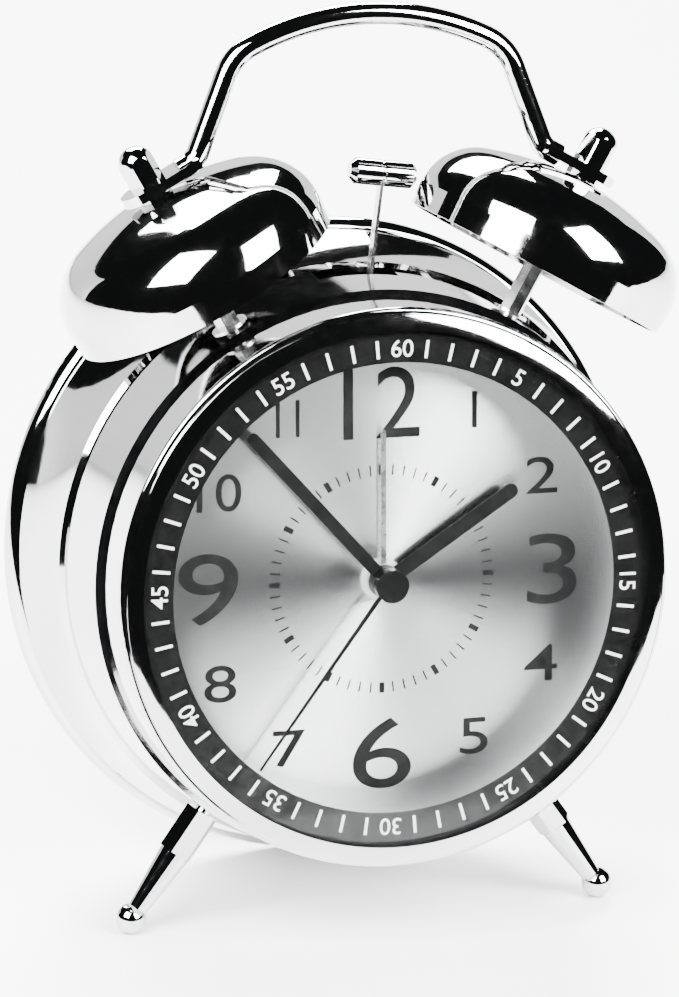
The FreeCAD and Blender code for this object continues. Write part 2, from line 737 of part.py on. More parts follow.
THIRD_PLACE = meshed("minute", "third_pinion", FAST, THIRD_AT)
MIDDLE_PLACE = meshed("middle", "cannon", SLOW, MIDDLE_AT)
ALARM_PLACE = meshed("alarm", "alarm_pinion", SLOW, ALARM_AT)
SETTING_PLACE = meshed("minute", "setting_pinion", FAST, SETTING_AT)


def train():
    """Second, third, minute, middle, hour and alarm wheels with the setting pinions."""
    centre, low_second = (0.0, 0.0), str(LAYER["second"])
    second_wheel = rod("second_rim", "8", low_second, low_second + " + gear_width")
    second_pinion = toothed("second_pinion", TRAIN["second_pinion"], QUICK, LAYER["third"], centre,
                            gap_towards(TRAIN["second_pinion"], THIRD_AT))
    keep("second_wheel", fuse("second_arbor", rod("second_staff", "second_shaft", "3.1", "staff_end"),
                              second_wheel, second_pinion))

    third_wheel = toothed("third_rim", TRAIN["third"], QUICK, LAYER["third"], THIRD_PLACE, THIRD_AT + 180)
    third_pinion = toothed("third_pinion", TRAIN["third_pinion"], FAST, LAYER["minute"], THIRD_PLACE,
                           gap_towards(TRAIN["third_pinion"], THIRD_AT + 180))
    keep("third_wheel", fuse("third_arbor", third_wheel, third_pinion,
                             rod("third_staff", "arbor_radius", "18.9", "staff_end", *THIRD_PLACE)))

    minute_wheel = toothed("minute_rim", TRAIN["minute"], FAST, LAYER["minute"], centre, THIRD_AT)
    cannon = toothed("cannon_pinion", TRAIN["cannon"], SLOW, LAYER["cannon"], centre, MIDDLE_AT)
    minute_body = fuse("minute_arbor", minute_wheel, cannon,
                       rod("minute_pipe", "minute_tube", "4.8", "19.9"))
    keep("minute_wheel", cut("minute_bored", minute_body, rod("minute_bore_tool", "minute_bore", "4", "21")))

    middle_wheel = toothed("middle_rim", TRAIN["middle"], SLOW, LAYER["cannon"], MIDDLE_PLACE,
                           gap_towards(TRAIN["middle"], MIDDLE_AT + 180))
    middle_pinion = toothed("middle_pinion", TRAIN["middle_pinion"], SLOWER, LAYER["hour"], MIDDLE_PLACE,
                            MIDDLE_AT + 180)
    keep("middle_wheel", fuse("middle_arbor", middle_wheel, middle_pinion,
                              rod("middle_staff", "arbor_radius", "12.4", "18.5", *MIDDLE_PLACE)))

    hour_wheel = toothed("hour_rim", TRAIN["hour"], SLOWER, LAYER["hour"], centre,
                         gap_towards(TRAIN["hour"], MIDDLE_AT))
    hour_body = fuse("hour_arbor", hour_wheel, rod("hour_pipe", "hour_tube", "6.2", "16.7"))
    keep("hour_wheel", cut("hour_bored", hour_body, rod("hour_bore_tool", "hour_bore", "6", "17")))

    alarm_wheel = toothed("alarm_rim", TRAIN["alarm"], SLOW, LAYER["alarm"], centre, ALARM_AT)
    alarm_body = fuse("alarm_arbor", alarm_wheel, rod("alarm_pipe", "alarm_tube", "7.5", "15"))
    keep("alarm_wheel", cut("alarm_bored", alarm_body, rod("alarm_bore_tool", "alarm_bore", "7", "16")))

    alarm_pinion = toothed("alarm_setting_pinion", TRAIN["alarm_pinion"], SLOW, LAYER["alarm"], ALARM_PLACE,
                           gap_towards(TRAIN["alarm_pinion"], ALARM_AT + 180))
    keep("alarm_arbor", fuse("alarm_setting", alarm_pinion,
                             rod("alarm_staff", "setting_radius", "13.6", "setting_end", *ALARM_PLACE)))
    setting_pinion = toothed("time_setting_pinion", TRAIN["setting_pinion"], FAST, LAYER["minute"],
                             SETTING_PLACE, gap_towards(TRAIN["setting_pinion"], SETTING_AT + 180))
    keep("time_arbor", fuse("time_setting", setting_pinion,
                            rod("time_staff", "setting_radius", "18.9", "setting_end", *SETTING_PLACE)))
    knob("alarm_knob", ALARM_PLACE)
    knob("time_knob", SETTING_PLACE)


def knob(label, place):
    """Fluted knob pressed on the end of a setting arbor, behind the cover."""
    low = value_of("cover_depth + cover_thickness + knob_gap")
    seat = depthwise(place[0], low, place[1])
    barrel = cylinder(label + "_barrel", "knob_radius", "knob_height", seat)
    tools = [cylinder(label + "_bore", "setting_radius",
                      "setting_end - cover_depth - cover_thickness - knob_gap", seat)]
    for flute in range(16):
        x, z = around(flute * 360 / 16, size("knob_radius") + 0.3)
        tools.append(cylinder(label + "_flute", "flute_radius", "knob_height - 0.8",
                              depthwise(place[0] + x, low + 0.8, place[1] + z)))
    keep(label, cut(label + "_cut", barrel, *tools))


# ---------------------------------------------------------------- movement housing

def movement():
    """Two-part plastic housing around the train, with the neck that comes through the dial."""
    front = "dial_depth + dial_thickness + frame_thickness + 0.2"
    low, high = ("-housing_half", "-housing_half"), ("housing_half", "housing_top")
    inside_low = ("-housing_half + housing_wall", "-housing_half + housing_wall")
    inside_high = ("housing_half - housing_wall", "housing_top - housing_wall")
    tray = block("tray", (low[0], front, low[1]), (high[0], "housing_split", high[1]))
    hollow = block("tray_hollow", (inside_low[0], front + " + housing_wall + 0.2", inside_low[1]),
                   (inside_high[0], "housing_split", inside_high[1]))
    neck = rod("neck", "neck_radius", "dial_depth - 0.5", front)
    keep("movement_front", cut("front_housing", fuse("tray_and_neck", tray, neck), hollow,
                               rod("neck_bore_tool", "neck_bore", "8", "14"),
                               rod("middle_pivot", "arbor_radius + running_gap", "12.2", "14",
                                   *MIDDLE_PLACE)))
    roof = "housing_back - housing_wall"
    lid = block("lid", (low[0], "housing_split", low[1]), (high[0], "housing_back", high[1]))
    lid_hollow = block("lid_hollow", (inside_low[0], "housing_split", inside_low[1]),
                       (inside_high[0], roof, inside_high[1]))
    passing = [("second_shaft", (0.0, 0.0)), ("arbor_radius", THIRD_PLACE),
               ("setting_radius", ALARM_PLACE), ("setting_radius", SETTING_PLACE)]
    holes = [rod("arbor_pass", radius + " + running_gap", roof + " - 0.1", "housing_back", *place)
             for radius, place in passing]
    keep("movement_back", cut("back_housing", lid, lid_hollow, *holes))
    keep("stepper_motor", block("stepper", ("12.5", "14.2", "-21.5"), ("21.5", "22.1", "-5.5")))
    keep("circuit_board", block("board", ("-21.6", "22.4", "-21"), ("-14.6", "23.6", "14")))


# ---------------------------------------------------------------- hammer and alarm motor

def bracket_places():
    """X and Z of the four screws of the hammer bracket."""
    return [(side * size("bracket_screw_x"), size(height)) for height in
            ("bracket_screw_high", "bracket_screw_low") for side in (-1, 1)]


def hammer():
    """Flat steel rod in a moulded lever, with a turned steel head; it rests leaning to the right."""
    depth, height = size("hammer_depth"), size("pivot_height")
    frame = Placement(Vector(0, depth, height), Rotation(Vector(0, 1, 0), size("hammer_lean")))
    head = lathe("hammer_turned", [
        ("0", "-head_length / 2"),
        ("head_radius * 0.55", "-head_length / 2"),
        ("head_radius", "-head_length / 2 + 1.1"),
        ("head_radius", "-0.35"),
        ("head_radius - 0.2", "-0.15"),
        ("head_radius - 0.2", "0.15"),
        ("head_radius", "0.35"),
        ("head_radius", "head_length / 2 - 0.8"),
        ("head_radius - 0.8", "head_length / 2"),
        ("0", "head_length / 2"),
    ], Placement(Vector(0, 0, size("head_reach")), Rotation(Vector(0, 1, 0), 90)))
    slot = block("head_slot", ("-strip_thickness / 2", "-strip_width / 2", "head_reach - head_radius - 1"),
                 ("strip_thickness / 2", "strip_width / 2", "head_reach"))
    strip = block("rod_strip", ("-strip_thickness / 2", "-strip_width / 2", "rod_start"),
                  ("strip_thickness / 2", "strip_width / 2", "head_reach"))
    socket = block("lever_socket", ("-strip_thickness / 2", "-strip_width / 2", "rod_start"),
                   ("strip_thickness / 2", "strip_width / 2", "lever_top + 2.5"))
    half = "lever_width / 2"
    hub = rod("lever_hub", "lever_hub_radius", "-lever_width / 2", half)
    stem = block("lever_stem", ("-stem_half", "-lever_width / 2", "0"), ("stem_half", half, "lever_top"))
    tail = block("lever_tail", ("-tail_half", "-lever_width / 2", "-fork_drop - 2.8"),
                 ("tail_half", half, "0"))
    fork = block("lever_fork", ("-fork_half", "-lever_width / 2", "-fork_drop - 3"),
                 ("fork_half", half, "-fork_drop + fork_depth"))
    bore = rod("lever_bore", "pivot_radius + running_gap", "-lever_width", "lever_width")
    pieces = {
        "hammer_head": cut("head", head, slot),
        "hammer_rod": strip,
        "hammer_lever": cut("lever", fuse("lever_body", hub, stem, tail), socket, fork, bore),
    }
    for label, piece in pieces.items():
        piece.Placement = frame.multiply(piece.Placement)
        keep(label, piece)


def hammer_drive():
    """Bracket with the hammer's pivot pin, the alarm motor behind it and the crank in front."""
    height = size("pivot_height")
    crank_height = height - size("fork_drop")
    plate = block("bracket_plate", ("-bracket_half", "bracket_depth", "bracket_low"),
                  ("bracket_half", "bracket_depth + bracket_thickness", "bracket_high"))
    tools = [rod("motor_hole", "3.2", "bracket_depth - 1", "bracket_depth + 3", 0, crank_height),
             rod("pin_hole", "pivot_radius", "bracket_depth - 1", "bracket_depth + 3", 0, height)]
    screws = []
    for x, z in bracket_places():
        tools.append(rod("screw_hole", "1.1", "bracket_depth - 1", "bracket_depth + 3", x, z))
        shank = rod("bracket_screw_shank", "screw_radius", "bracket_depth - 6",
                    "bracket_depth + bracket_thickness", x, z)
        head = rod("bracket_screw_head", "1.9", "bracket_depth + bracket_thickness",
                   "bracket_depth + bracket_thickness + screw_head_height", x, z)
        screws.append(fuse("bracket_screw", shank, head))
    keep("hammer_bracket", cut("bracket", plate, *tools))
    keep("bracket_screws", group("bracket_screw_set", *screws))
    keep("hammer_pivot", rod("pivot_pin", "pivot_radius", "hammer_depth - lever_width / 2 - 1.2",
                             "bracket_depth + bracket_thickness", 0, height))
    back = "bracket_depth + bracket_thickness"
    can = rod("motor_can", "motor_radius", back, back + " + motor_length", 0, crank_height)
    boss = rod("motor_boss", "2.8", "bracket_depth + 0.2", back, 0, crank_height)
    bore = rod("motor_bore", "0.8", "bracket_depth", back + " + 6", 0, crank_height)
    keep("alarm_motor", cut("motor", fuse("motor_body", can, boss), bore))
    swing = size("fork_drop") * math.tan(math.radians(size("hammer_lean")))
    disc = rod("crank_disc", "crank_radius", "bracket_depth - 1.6", "bracket_depth - 0.4", 0, crank_height)
    pin = rod("crank_pin", "crank_pin_radius", "hammer_depth + lever_width / 2 + 0.3",
              "bracket_depth - 1.6", -swing, crank_height)
    shaft = rod("crank_shaft", "0.75", "bracket_depth - 0.4", back + " + 5", 0, crank_height)
    keep("motor_crank", fuse("crank", disc, pin, shaft))


# ---------------------------------------------------------------- back cover, battery and switch

def back_cover():
    """Moulded back, recessed in the case's rim, with the battery bay."""
    top = "cover_depth + cover_thickness"
    plate = rod("cover_plate", "cover_radius", "cover_depth", top)
    bay = block("bay", ("-bay_half", "bay_depth", "bay_bottom"), ("bay_half", "cover_depth + 0.5", "bay_top"))
    hollow = block("bay_hollow", ("-bay_half + bay_wall", "bay_depth + bay_wall", "bay_bottom + bay_wall"),
                   ("bay_half - bay_wall", "cover_depth + 3", "bay_top - bay_wall"))
    window = block("switch_window", ("switch_left + 2", "cover_depth - 1", "switch_low + 2"),
                   ("switch_right - 2", "cover_depth + 3", "switch_high - 2"))
    tools = [hollow, window]
    screws = []
    for angle in (45, 135, 225, 315):
        x, z = around(angle, size("boss_circle") - size("boss_radius"))
        tools.append(rod("cover_screw_hole", "1.2", "cover_depth - 1", "cover_depth + 3", x, z))
        shank = rod("cover_screw_shank", "screw_radius", "cover_depth - 8", top, x, z)
        head = rod("cover_screw_head", "screw_head_radius", top, top + " + screw_head_height", x, z)
        screws.append(fuse("cover_screw", shank, head))
    for place in (ALARM_PLACE, SETTING_PLACE):
        tools.append(rod("arbor_hole", "2.2", "cover_depth - 1", "cover_depth + 3", *place))
    keep("back_cover", cut("cover", fuse("cover_body", plate, bay), *tools))
    keep("cover_screws", group("cover_screw_set", *screws))


def battery_and_switch():
    """Sliding door, AA cell between its two contacts, and the alarm's slide switch."""
    top = "cover_depth + cover_thickness"
    face = top + " + door_gap + door_thickness"
    door = block("door_plate", ("-bay_half + 0.6", top + " + door_gap", "bay_bottom + 0.3"),
                 ("bay_half - 0.6", face, "bay_top - 0.3"))
    grips = [block("door_grip", ("-6", face, str(z)), ("6", top + " + 2", str(z + 0.8)))
             for z in (-36, -34, -32)]
    keep("battery_door", fuse("door", door, *grips))
    along = Rotation(Vector(0, 1, 0), 90)
    depth, height = size("battery_depth"), size("battery_height")
    half = size("battery_length") / 2
    can = cylinder("battery_can", "battery_radius", "battery_length",
                   Placement(Vector(-half, depth, height), along))
    nub = cylinder("battery_nub", "nub_radius", "1", Placement(Vector(half, depth, height), along))
    keep("battery", fuse("battery_body", can, nub))
    plate_back = "bay_half - bay_wall - 1.2"
    keep("battery_plate", block("plate", (plate_back + " - 0.7", "33", "-38"), (plate_back, "44", "-28")))
    coil = doc.addObject("Part::Cone", "battery_spring")
    coil.setExpression("Radius1", bound("contact_base"))
    coil.setExpression("Radius2", bound("contact_tip"))
    coil.setExpression("Height", bound("contact_length"))
    coil.Placement = Placement(Vector(-half - size("contact_length"), depth, height), along)
    keep("battery_contact", coil)
    body = block("switch_case", ("switch_left", "cover_depth - switch_body_depth", "switch_low"),
                 ("switch_right", "cover_depth", "switch_high"))
    body_slot = block("switch_slot", ("switch_left + 2.5", "cover_depth - 3.2", "switch_low + 2.5"),
                      ("switch_right - 2.5", "cover_depth", "switch_high - 2.5"))
    keep("switch_body", cut("switch", body, body_slot))
    keep("switch_slider", block("slider", ("switch_left + 3", "cover_depth - 3", "switch_low + 2.6"),
                                ("switch_left + 7", "cover_depth + 4.5", "switch_high - 2.6")))


# ---------------------------------------------------------------- assembly

def stand_frame():
    """Leans the dial's frame back on the feet and puts the middle of its footprint at the origin."""
    tilt = Placement(ORIGIN, Rotation(Vector(1, 0, 0), -size("lean")))
    boxes = [piece.Shape.transformed(tilt.Matrix, copy=True).optimalBoundingBox(False, False)
             for piece in nodes.values()]
    front = min(box.YMin for box in boxes)
    back = max(box.YMax for box in boxes)
    return Placement(Vector(0, -(front + back) / 2, value_of(FLOOR)), tilt.Rotation)


def check(objects):
    for thing in objects:
        if "Invalid" in thing.State or "Error" in thing.State:
            raise RuntimeError("failed: " + thing.Label)
    for label, piece in nodes.items():
        if piece.Shape.isNull() or not piece.Shape.isValid() or not piece.Shape.Solids:
            raise RuntimeError("no valid solid: " + label)


case_shell()
front_bezel()
lens_and_dial()
inner_frame()
for word, direction in (("left", -1), ("right", 1)):
    bell("bell_" + word, direction)
    bell_post("bell_post_" + word, direction)
    foot_leg("leg_" + word, -direction)
fasteners()
carry_handle()
hands()
train()
movement()
hammer()
hammer_drive()
back_cover()
battery_and_switch()
doc.recompute()
STAND = stand_frame()
for finished in nodes.values():
    finished.Placement = STAND.multiply(finished.Placement)
doc.recompute()
check(doc.Objects)
os.makedirs("parts", exist_ok=True)
for node_name, node_piece in nodes.items():
    node_piece.Shape.exportStep(os.path.join("parts", node_name + ".step"))
print(len(nodes), "nodes")
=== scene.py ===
"""Looks of the twin-bell alarm clock: finishes, dial printing, studio light and camera."""
import bmesh
import bpy
import json
import math
from mathutils import Matrix, Vector


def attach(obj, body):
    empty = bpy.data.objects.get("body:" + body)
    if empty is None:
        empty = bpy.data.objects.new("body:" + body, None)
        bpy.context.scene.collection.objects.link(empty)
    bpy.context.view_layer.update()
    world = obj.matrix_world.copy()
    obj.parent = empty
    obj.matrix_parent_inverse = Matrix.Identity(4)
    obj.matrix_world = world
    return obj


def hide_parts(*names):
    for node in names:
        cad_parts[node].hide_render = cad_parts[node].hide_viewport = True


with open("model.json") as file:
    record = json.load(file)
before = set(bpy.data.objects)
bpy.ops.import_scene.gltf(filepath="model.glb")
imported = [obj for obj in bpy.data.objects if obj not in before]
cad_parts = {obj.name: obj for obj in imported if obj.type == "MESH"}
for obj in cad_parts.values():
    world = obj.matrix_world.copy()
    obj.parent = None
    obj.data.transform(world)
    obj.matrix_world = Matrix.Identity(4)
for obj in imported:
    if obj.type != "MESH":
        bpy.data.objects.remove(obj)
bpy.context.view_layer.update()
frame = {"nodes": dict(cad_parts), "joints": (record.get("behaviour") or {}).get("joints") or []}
NODES = frame["nodes"]
MM = 0.001

# The dial's own frame: x to the viewer's right, depth into the clock, z up the dial, in millimetres. Its
# origin is where the hands' axis meets the front of the minute ring. Angles are in degrees, clockwise
# from the top.
AXIS_DEPTH = 4.0
RING_FRONT = 0.0
RING_RADIUS = 43.5
RING_TURN = 1.5
DIAL_FRONT = 9.2
DIAL_RADIUS = 48.4
DIAL_HOLE = 3.95
DIAL_THICKNESS = 0.8
DIAL_STEPS = 256
SHARP_ANGLE = 35

# Printing on the ring and the dial, in millimetres.
PRINT = 0.02
MARK_LENGTH = 3.2
MARK_WIDTH = 0.55
ALARM_RADIUS = 20.0
ALARM_MARK = 1.9
ALARM_FINE = 0.28
ALARM_BOLD = 0.95
MINUTE_HEIGHT = 3.1
HOUR_HEIGHT = 7.0
HOUR_RADIUS = 34.8
QUARTER_HEIGHT = 13.4
QUARTER_RADIUS = 32.2

# Lettering: a figure's height as a share of the type size, the growth of its outline in millimetres,
# the steps in each of its curves, and how far the hours are drawn out sideways.
FIGURE_SHARE = 0.72
STROKE_GROWTH = 0.02
FIGURE_STEPS = 6
USUAL_BREADTH = 1.4
FIGURE_BREADTH = {1: 1.0, 10: 1.1, 11: 0.75, 12: 1.0}

# The studio round the clock, in metres and degrees.
FLOOR_RADIUS = 1.5
FLOOR_BACK = 1.2
FLOOR_STEPS = 64
WALL_HEIGHT = 0.75
WALL_STEPS = 32
LAMP_AIM = Vector((0, 0, 0.1))
LAMP_DISTANCE = 1.3
WORLD_TINT = (0.9, 0.95, 1, 1)
WORLD_STRENGTH = 0.012

# The camera in the dial's frame, in millimetres and degrees.
CAMERA_AZIMUTH = -16.05
CAMERA_ELEVATION = 11.17
CAMERA_DISTANCE = 973.8
CAMERA_AIM = Vector((-10.5, 0, 17.1))
CAMERA_ROLL = 0.14
FOCAL_LENGTH = 198.6
SENSOR_WIDTH = 36


def dial_frame():
    """The second hand's joint lies on the dial's axis, AXIS_DEPTH behind the front of the minute ring."""
    spin = next(joint for joint in frame["joints"] if joint["name"] == "second_spin")
    inward = Vector(spin["axis"]).normalized()
    across = Vector((1, 0, 0))
    upward = across.cross(inward)
    origin = Vector(spin["pos_m"]) - inward * AXIS_DEPTH * MM
    return Matrix.Translation(origin) @ Matrix((across, inward, upward)).transposed().to_4x4()


DIAL = dial_frame()


# ---------------------------------------------------------------- materials

class Finish:
    """A Principled material with a few procedural layers in the object's own coordinates."""

    def __init__(self, name, roughness, metallic=0.0):
        self.material = bpy.data.materials.new(name)
        self.material.use_nodes = True
        self.tree = self.material.node_tree
        self.shader = self.tree.nodes["Principled BSDF"]
        self.shader.inputs["Metallic"].default_value = metallic
        self.shader.inputs["Roughness"].default_value = roughness
        self.height = None

    def add(self, kind, **settings):
        node = self.tree.nodes.new(kind)
        for key, value in settings.items():
            setattr(node, key, value)
        return node

    def link(self, source, target):
        self.tree.links.new(source, target)

    def noise(self, scale, detail=4.0, stretch=(1, 1, 1)):
        """Noise of about `scale` features in a millimetre; a `stretch` below 1 draws it out on that axis."""
        place = self.add("ShaderNodeTexCoord")
        mapping = self.add("ShaderNodeMapping")
        mapping.inputs["Scale"].default_value = [scale / MM * part for part in stretch]
        noise = self.add("ShaderNodeTexNoise")
        noise.inputs["Scale"].default_value = 1.0
        noise.inputs["Detail"].default_value = detail
        self.link(place.outputs["Object"], mapping.inputs["Vector"])
        self.link(mapping.outputs["Vector"], noise.inputs["Vector"])
        return noise.outputs["Fac"]

    def colour(self, first, second, fac):
        """Two close tones mottled by a noise."""
        ramp = self.add("ShaderNodeValToRGB")
        ramp.color_ramp.elements[0].position = 0.35
        ramp.color_ramp.elements[0].color = (*first, 1)
        ramp.color_ramp.elements[1].position = 0.65
        ramp.color_ramp.elements[1].color = (*second, 1)
        self.link(fac, ramp.inputs["Fac"])
        self.link(ramp.outputs["Color"], self.shader.inputs["Base Color"])

    def gloss(self, low, high, fac):
        """Roughness that wanders between two values."""
        spread = self.add("ShaderNodeMapRange")
        spread.inputs["From Min"].default_value = 0.3
        spread.inputs["From Max"].default_value = 0.7
        spread.inputs["To Min"].default_value = low
        spread.inputs["To Max"].default_value = high
        self.link(fac, spread.inputs["Value"])
        self.link(spread.outputs["Result"], self.shader.inputs["Roughness"])

    def bump(self, fac, depth, strength):
        """Relief of the given depth in millimetres, laid over any earlier relief."""
        bump = self.add("ShaderNodeBump")
        bump.inputs["Strength"].default_value = strength
        bump.inputs["Distance"].default_value = depth * MM
        self.link(fac, bump.inputs["Height"])
        if self.height:
            self.link(self.height, bump.inputs["Normal"])
        self.height = bump.outputs["Normal"]
        self.link(self.height, self.shader.inputs["Normal"])


def grey(level, warmth=0.0):
    return (level * (1 + warmth), level, level * (1 - warmth))


def metal(name, light, dark, low, high, scratch=0.004):
    """Plated or bare metal: roughness from `low` to `high`, and scratches `scratch` millimetres deep."""
    finish = Finish(name, low, metallic=1.0)
    finish.colour(dark, light, finish.noise(0.08))
    finish.gloss(low, high, finish.noise(0.5, detail=6))
    finish.bump(finish.noise(6, detail=3, stretch=(0.08, 1, 1)), scratch, strength=0.25)
    return finish.material


def moulded(name, light, dark, low, high, relief=0.02, shine=0.5):
    """Moulded plastic or print with a fine even grain `relief` millimetres deep."""
    finish = Finish(name, low)
    finish.shader.inputs["Specular IOR Level"].default_value = shine
    finish.colour(dark, light, finish.noise(0.4))
    finish.gloss(low, high, finish.noise(1.2))
    finish.bump(finish.noise(5, detail=2), relief, strength=0.3)
    return finish.material


def clear_lens():
    """Thin window glass: clear, with a Fresnel reflection and the faintest dust in its gloss.

    The material's own Principled shader isn't used.
    """
    finish = Finish("lens_glass", 0.02)
    glassy = finish.add("ShaderNodeBsdfGlossy")
    clear = finish.add("ShaderNodeBsdfTransparent")
    share = finish.add("ShaderNodeFresnel")
    mix = finish.add("ShaderNodeMixShader")
    dust = finish.add("ShaderNodeMapRange")
    dust.inputs["To Min"].default_value = 0.0
    dust.inputs["To Max"].default_value = 0.03
    clear.inputs["Color"].default_value = (0.985, 0.99, 0.99, 1)
    share.inputs["IOR"].default_value = 1.22
    finish.link(finish.noise(0.3, detail=8), dust.inputs["Value"])
    finish.link(dust.outputs["Result"], glassy.inputs["Roughness"])
    finish.link(share.outputs["Fac"], mix.inputs["Fac"])
    finish.link(clear.outputs["BSDF"], mix.inputs[1])
    finish.link(glassy.outputs["BSDF"], mix.inputs[2])
    output = finish.tree.nodes["Material Output"]
    finish.link(mix.outputs["Shader"], output.inputs["Surface"])
    return finish.material


def spun_dial():
    """Aluminium turned on its centre, so that light spreads across the grain into bright fans."""
    finish = Finish("spun_dial", 0.34, metallic=1.0)
    finish.colour(grey(0.84), grey(0.86), finish.noise(2))
    tangent = finish.add("ShaderNodeTangent", direction_type="RADIAL", axis="Y")
    finish.link(tangent.outputs["Tangent"], finish.shader.inputs["Tangent"])
    finish.shader.inputs["Anisotropic"].default_value = 0.95
    finish.shader.inputs["Anisotropic Rotation"].default_value = 0.25
    finish.gloss(0.26, 0.27, finish.noise(2))
    rings = finish.add("ShaderNodeTexWave", wave_type="RINGS", rings_direction="Y")
    place = finish.add("ShaderNodeTexCoord")
    finish.link(place.outputs["Object"], rings.inputs["Vector"])
    rings.inputs["Scale"].default_value = 0.8 / MM
    rings.inputs["Distortion"].default_value = 2.0
    finish.bump(rings.outputs["Fac"], 0.0004, strength=0.05)
    return finish.material


def battery_wrap():
    """Dark blue shrink wrap, faintly mottled."""
    finish = Finish("battery_label", 0.35)
    finish.colour((0.03, 0.05, 0.09), (0.04, 0.07, 0.12), finish.noise(0.2))
    finish.bump(finish.noise(1.5), 0.01, strength=0.2)
    return finish.material


def board():
    """Green lacquered board with an uneven surface."""
    finish = Finish("board_green", 0.4)
    finish.colour((0.01, 0.1, 0.05), (0.02, 0.16, 0.08), finish.noise(1.0, detail=2))
    finish.bump(finish.noise(3), 0.01, strength=0.3)
    return finish.material


MATERIALS = {
    "chrome": metal("chrome_plate", grey(0.6), grey(0.56), 0.025, 0.06),
    "steel": metal("bright_steel", grey(0.58), grey(0.52), 0.16, 0.28, scratch=0.006),
    "motor": metal("motor_steel", grey(0.6), grey(0.5), 0.25, 0.38, scratch=0.008),
    "spring": metal("contact_spring", grey(0.7, 0.03), grey(0.62, 0.03), 0.2, 0.3),
    "brass": metal("crank_brass", (0.78, 0.57, 0.27), (0.7, 0.48, 0.2), 0.2, 0.32),
    "lens": clear_lens(),
    "dial": spun_dial(),
    "ring_black": moulded("ring_black", grey(0.008), grey(0.004), 0.12, 0.2, relief=0.004),
    "hand_black": moulded("hand_black", grey(0.006), grey(0.003), 0.4, 0.46, relief=0.0005, shine=0.1),
    "silver": metal("hand_silver", grey(0.62), grey(0.54), 0.22, 0.34),
    "print_white": moulded("print_white", grey(0.84), grey(0.78), 0.4, 0.5, relief=0.003),
    "print_black": moulded("print_black", grey(0.008), grey(0.004), 0.5, 0.6, relief=0.001, shine=0.12),
    "white": moulded("movement_white", grey(0.72), grey(0.66), 0.4, 0.52),
    "gear": moulded("gear_white", grey(0.76), grey(0.7), 0.32, 0.44, relief=0.01),
    "spacer": moulded("spacer_white", grey(0.78), grey(0.72), 0.3, 0.45),
    "frame": moulded("frame_grey", grey(0.3), grey(0.25), 0.45, 0.6),
    "cover": moulded("cover_black", grey(0.012), grey(0.007), 0.5, 0.62, relief=0.04, shine=0.2),
    "knob": moulded("knob_grey", grey(0.035), grey(0.025), 0.45, 0.56, relief=0.03, shine=0.25),
    "board": board(),
    "label": battery_wrap(),
}

PAINTED = {
    "chrome": "case_shell front_bezel bell_left bell_right acorn_nuts carry_handle "
              "spacer_nuts hammer_head leg_left leg_right",
    "steel": "bell_post_left bell_post_right post_washers inner_nuts hammer_rod hammer_lever "
             "hammer_bracket hammer_pivot bracket_screws cover_screws battery_plate",
    "motor": "alarm_motor stepper_motor",
    "spring": "battery_contact",
    "brass": "motor_crank",
    "lens": "lens",
    "dial": "dial_plate",
    "ring_black": "chapter_ring centre_cap",
    "hand_black": "hour_hand minute_hand second_hand",
    "silver": "alarm_hand",
    "white": "movement_front movement_back",
    "gear": "second_wheel third_wheel minute_wheel middle_wheel hour_wheel alarm_wheel "
            "time_arbor alarm_arbor",
    "spacer": "dial_spacer",
    "frame": "inner_frame",
    "cover": "back_cover battery_door switch_body",
    "knob": "time_knob alarm_knob switch_slider",
    "board": "circuit_board",
    "label": "battery",
}


def paint_nodes():
    """Gives every CAD node its finish, and stops if a node has none."""
    bare = set(NODES)
    for key, names in PAINTED.items():
        for name in names.split():
            materials = NODES[name].data.materials
            materials.clear()
            materials.append(MATERIALS[key])
            bare.remove(name)
    assert not bare, bare


# ---------------------------------------------------------------- pieces in the dial's frame

def linked(name, data):
    """A new object of the scene that holds a mesh, a text, a lamp or a camera."""
    item = bpy.data.objects.new(name, data)
    bpy.context.scene.collection.objects.link(item)
    return item


def mesh_of(name, form):
    """The mesh that a bmesh describes; the bmesh is freed."""
    mesh = bpy.data.meshes.new(name)
    form.to_mesh(mesh)
    form.free()
    return mesh


def dial_point(angle, radius, depth):
    """A point of the dial's frame in metres, from an angle in degrees and two lengths in millimetres."""
    turn = math.radians(angle)
    return Vector((radius * math.sin(turn) * MM, depth * MM, radius * math.cos(turn) * MM))


def radial_place(angle, radius, front):
    """Where printing on the surface at `front` lies, its top turned away from the dial's axis."""
    turn = Matrix.Rotation(math.radians(angle), 4, "Y")
    return turn @ Matrix.Translation((0, (front - PRINT / 2) * MM, radius * MM))


def add_piece(name, mesh, key, body):
    """Places a mesh drawn in metres of the dial's frame, and lets it ride on a body."""
    piece = linked(name, mesh)
    piece.matrix_world = DIAL
    mesh.materials.clear()
    mesh.materials.append(MATERIALS[key])
    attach(piece, body)
    return piece


def turned(name, profile, steps):
    """A closed profile of (radius, depth) pairs turned about the dial's axis, smooth by angle."""
    form = bmesh.new()
    rings = []
    for step in range(steps):
        angle = 360 * step / steps
        rings.append([form.verts.new(dial_point(angle, radius, depth)) for radius, depth in profile])
    for first, second in zip(rings, rings[1:] + rings[:1]):
        for index in range(len(profile)):
            after = (index + 1) % len(profile)
            form.faces.new((first[index], first[after], second[after], second[index]))
    bmesh.ops.recalc_face_normals(form, faces=form.faces)
    mesh = mesh_of(name, form)
    mesh.shade_smooth()
    mesh.set_sharp_from_angle(angle=math.radians(SHARP_ANGLE))
    return mesh


